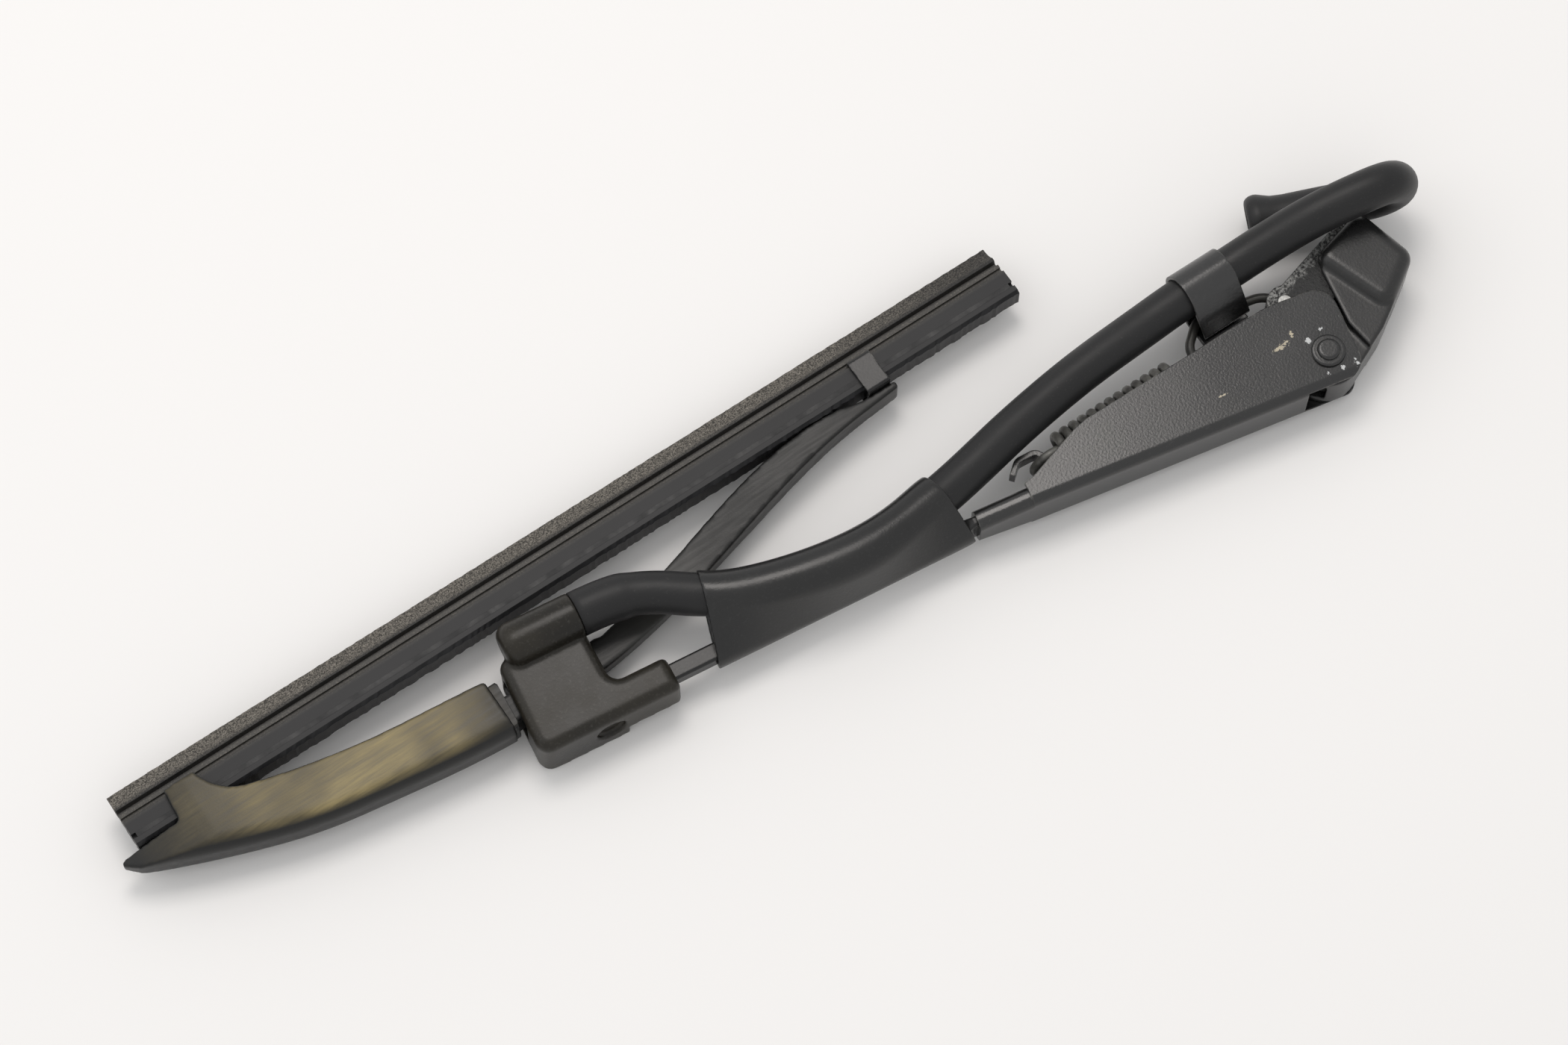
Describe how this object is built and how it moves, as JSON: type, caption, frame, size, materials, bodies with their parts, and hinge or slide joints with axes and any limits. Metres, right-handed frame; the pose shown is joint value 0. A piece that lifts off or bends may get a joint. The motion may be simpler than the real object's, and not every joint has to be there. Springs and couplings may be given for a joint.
{
  "type": "wiper arm",
  "caption": "Sprung wiper arm with a hinged nut cover, a rod, a short blade on a pivoting yoke and a washer hose bound along it.",
  "frame": {"origin": "centre of the spindle bore at the head's seat face", "axes": "+X along the channel from the blade to the head, +Y towards the glass, +Z along the hinge rivet, with the arm lying on its side"},
  "size_m": [0.3024, 0.0685, 0.026],
  "materials": {
    "head_metal": "cast, partly painted black",
    "bare_steel": "bare",
    "black_paint": "satin black paint, worn at the edges",
    "black_plastic": "moulded, matte",
    "spring_steel": "dull, oxidised",
    "hose_rubber": "matte extruded rubber",
    "sleeve_plastic": "shrunk, half gloss",
    "brown_plastic": "weathered black, brownish satin",
    "blade_rubber": "dusty rubber"
  },
  "bodies": {
    "head": {"arm_head": "head_metal", "hook_pin": "bare_steel"},
    "cover": {"nut_cover": "black_plastic"},
    "arm": {"arm_channel": "black_paint", "arm_rod": "black_paint", "hinge_rivet": "black_paint", "washer_hose": "hose_rubber", "hose_clip": "black_plastic", "binding_sleeve": "sleeve_plastic", "blade_adapter": "brown_plastic", "blade_pin": "bare_steel"},
    "hook": {"spring_hook": "spring_steel"},
    "spring": {"tension_spring": "spring_steel"},
    "blade": {"blade_yoke": "brown_plastic", "end_claw": "black_paint", "wiper_rubber": "blade_rubber", "backing_strips": "bare_steel"}
  },
  "joints": [
    {"name": "arm_hinge", "type": "hinge", "parent": "head", "child": "arm", "pos_m": [-0.00812, -0.02301, 0], "axis": [0, 0, 1], "range_deg": [0, 65]},
    {"name": "cover_hinge", "type": "hinge", "parent": "head", "child": "cover", "pos_m": [-0.00812, -0.02301, 0], "axis": [0, 0, -1], "range_deg": [0, 45]},
    {"name": "hook_swing", "type": "hinge", "parent": "head", "child": "hook", "pos_m": [-0.01103, -0.00882, 0], "axis": [0, 0, 1], "range_deg": [0, 59.5]},
    {"name": "spring_stretch", "type": "slide", "parent": "hook", "child": "spring", "axis": [-0.9814, -0.1918, 0], "range_m": [0, 0.0138], "deforming": ["tension_spring"]},
    {"name": "blade_pivot", "type": "hinge", "parent": "arm", "child": "blade", "pos_m": [-0.18219, -0.02522, 0], "axis": [0, 0, 1], "range_deg": [-6, 5]}
  ],
  "couplings": [
    {"joint": "hook_swing", "follows": "arm_hinge", "ratio": 0.9031},
    {"joint": "spring_stretch", "follows": "arm_hinge", "m_per_rad": 0.012036}
  ]
}
